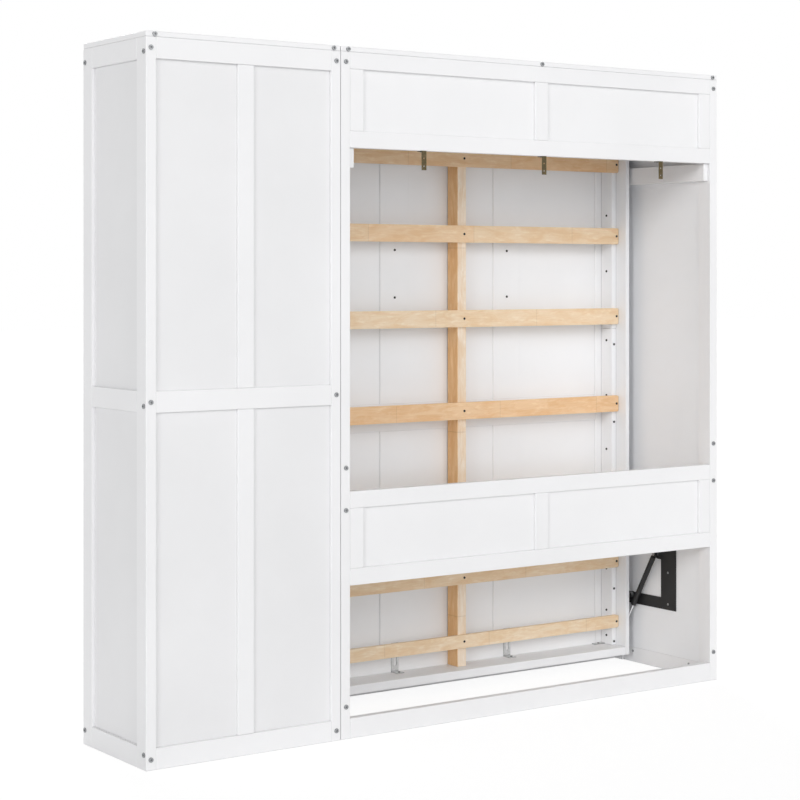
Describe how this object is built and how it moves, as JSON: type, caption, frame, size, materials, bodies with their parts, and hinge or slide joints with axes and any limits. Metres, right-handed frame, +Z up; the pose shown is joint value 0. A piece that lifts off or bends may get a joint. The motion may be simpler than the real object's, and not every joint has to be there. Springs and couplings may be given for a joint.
{
  "type": "murphy wall bed",
  "caption": "White wall bed cabinet with an attached wardrobe; a slatted bed with framed front folds down on gas struts through an open-backed bay.",
  "frame": {"origin": "middle of the bounding box at floor level", "axes": "+X along the width towards the wardrobe, +Y towards the wall, +Z up; the bed opens towards -Y"},
  "size_m": [2.186, 0.542, 2.06],
  "materials": {
    "white_paint": "satin white paint on board",
    "pine": "planed natural pine",
    "black_steel": "black powder coat",
    "bright_rod": "ground and plated",
    "zinc_steel": "zinc plated",
    "brass_plate": "yellow passivated plate"
  },
  "bodies": {
    "cabinet": {"wardrobe_posts": "white_paint", "wardrobe_side_rails": "white_paint", "wardrobe_side_panels": "white_paint", "wardrobe_cross_rails": "white_paint", "wardrobe_back_mullions": "white_paint", "wardrobe_back_panels": "white_paint", "wardrobe_shelves": "white_paint", "wardrobe_top_board": "white_paint", "bed_unit_posts": "white_paint", "bed_unit_side_rails": "white_paint", "bed_unit_side_panels": "white_paint", "side_battens": "white_paint", "bed_unit_top_board": "white_paint", "bed_back_rails": "white_paint", "bed_back_stiles": "white_paint", "bed_back_panels": "white_paint", "toe_kick": "white_paint", "wardrobe_hanging_rail": "bright_rod", "wardrobe_rail_cups": "zinc_steel", "wardrobe_hinge_leaves": "zinc_steel", "wardrobe_hinge_pins": "zinc_steel", "frame_bolts": "zinc_steel", "unit_link_bolts": "zinc_steel", "pivot_pins": "zinc_steel", "strut_upper_studs": "zinc_steel", "cabinet_screws": "zinc_steel", "wall_brackets": "brass_plate", "pivot_bracket_left": "black_steel", "pivot_bracket_right": "black_steel"},
    "bed": {"bed_front_stiles": "white_paint", "bed_front_rails": "white_paint", "bed_front_mullions": "white_paint", "bed_front_panels": "white_paint", "bed_side_rails": "white_paint", "bed_end_boards": "white_paint", "bed_ledgers": "white_paint", "bed_slats": "pine", "bed_centre_beam": "pine", "bed_straps": "zinc_steel", "strut_lower_studs": "zinc_steel", "leg_pins": "zinc_steel", "bed_screws": "black_steel", "bed_handles": "black_steel", "bed_pivot_plates": "black_steel", "leg_brackets": "black_steel"},
    "left_door": {"left_door_stiles": "white_paint", "left_door_rails": "white_paint", "left_door_panels": "white_paint", "left_door_handle": "black_steel", "left_door_hinge_leaves": "zinc_steel"},
    "right_door": {"right_door_stiles": "white_paint", "right_door_rails": "white_paint", "right_door_panels": "white_paint", "right_door_handle": "black_steel", "right_door_hinge_leaves": "zinc_steel"},
    "strut_cylinder_left": {"strut_cylinder_left": "black_steel"},
    "strut_cylinder_right": {"strut_cylinder_right": "black_steel"},
    "strut_rod_left": {"strut_rod_left": "bright_rod"},
    "strut_rod_right": {"strut_rod_right": "bright_rod"},
    "support_leg": {"support_leg": "black_steel"}
  },
  "joints": [
    {"name": "bed_fold", "type": "hinge", "parent": "cabinet", "child": "bed", "pos_m": [-0.324, -0.132, 0.24], "axis": [1, 0, 0], "range_deg": [0, 90], "stiffness_Nm_per_rad": 220, "springref_deg": -20.05},
    {"name": "strut_cylinder_left_swing", "type": "hinge", "parent": "cabinet", "child": "strut_cylinder_left", "pos_m": [0.3975, 0.00298, 0.40087], "axis": [1, 0, 0], "range_deg": [0, 45]},
    {"name": "strut_rod_left_swing", "type": "hinge", "parent": "bed", "child": "strut_rod_left", "pos_m": [0.3975, -0.20382, 0.04267], "axis": [1, 0, 0], "range_deg": [-45, 0]},
    {"name": "strut_cylinder_right_swing", "type": "hinge", "parent": "cabinet", "child": "strut_cylinder_right", "pos_m": [-1.0455, 0.00298, 0.40087], "axis": [1, 0, 0], "range_deg": [0, 45]},
    {"name": "strut_rod_right_swing", "type": "hinge", "parent": "bed", "child": "strut_rod_right", "pos_m": [-1.0455, -0.20382, 0.04267], "axis": [1, 0, 0], "range_deg": [-45, 0]},
    {"name": "leg_fold", "type": "hinge", "parent": "bed", "child": "support_leg", "pos_m": [-0.324, -0.255, 1.99], "axis": [-1, 0, 0], "range_deg": [0, 90]},
    {"name": "left_door_swing", "type": "hinge", "parent": "cabinet", "child": "left_door", "pos_m": [0.4775, -0.1315, 1], "axis": [0, 0, -1], "range_deg": [0, 90]},
    {"name": "right_door_swing", "type": "hinge", "parent": "cabinet", "child": "right_door", "pos_m": [1.0565, -0.1315, 1], "axis": [0, 0, 1], "range_deg": [0, 110]}
  ],
  "couplings": [
    {"joint": "strut_cylinder_left_swing", "follows": "bed_fold", "ratio": 0.5},
    {"joint": "strut_rod_left_swing", "follows": "bed_fold", "ratio": -0.5},
    {"joint": "strut_cylinder_right_swing", "follows": "bed_fold", "ratio": 0.5},
    {"joint": "strut_rod_right_swing", "follows": "bed_fold", "ratio": -0.5}
  ]
}
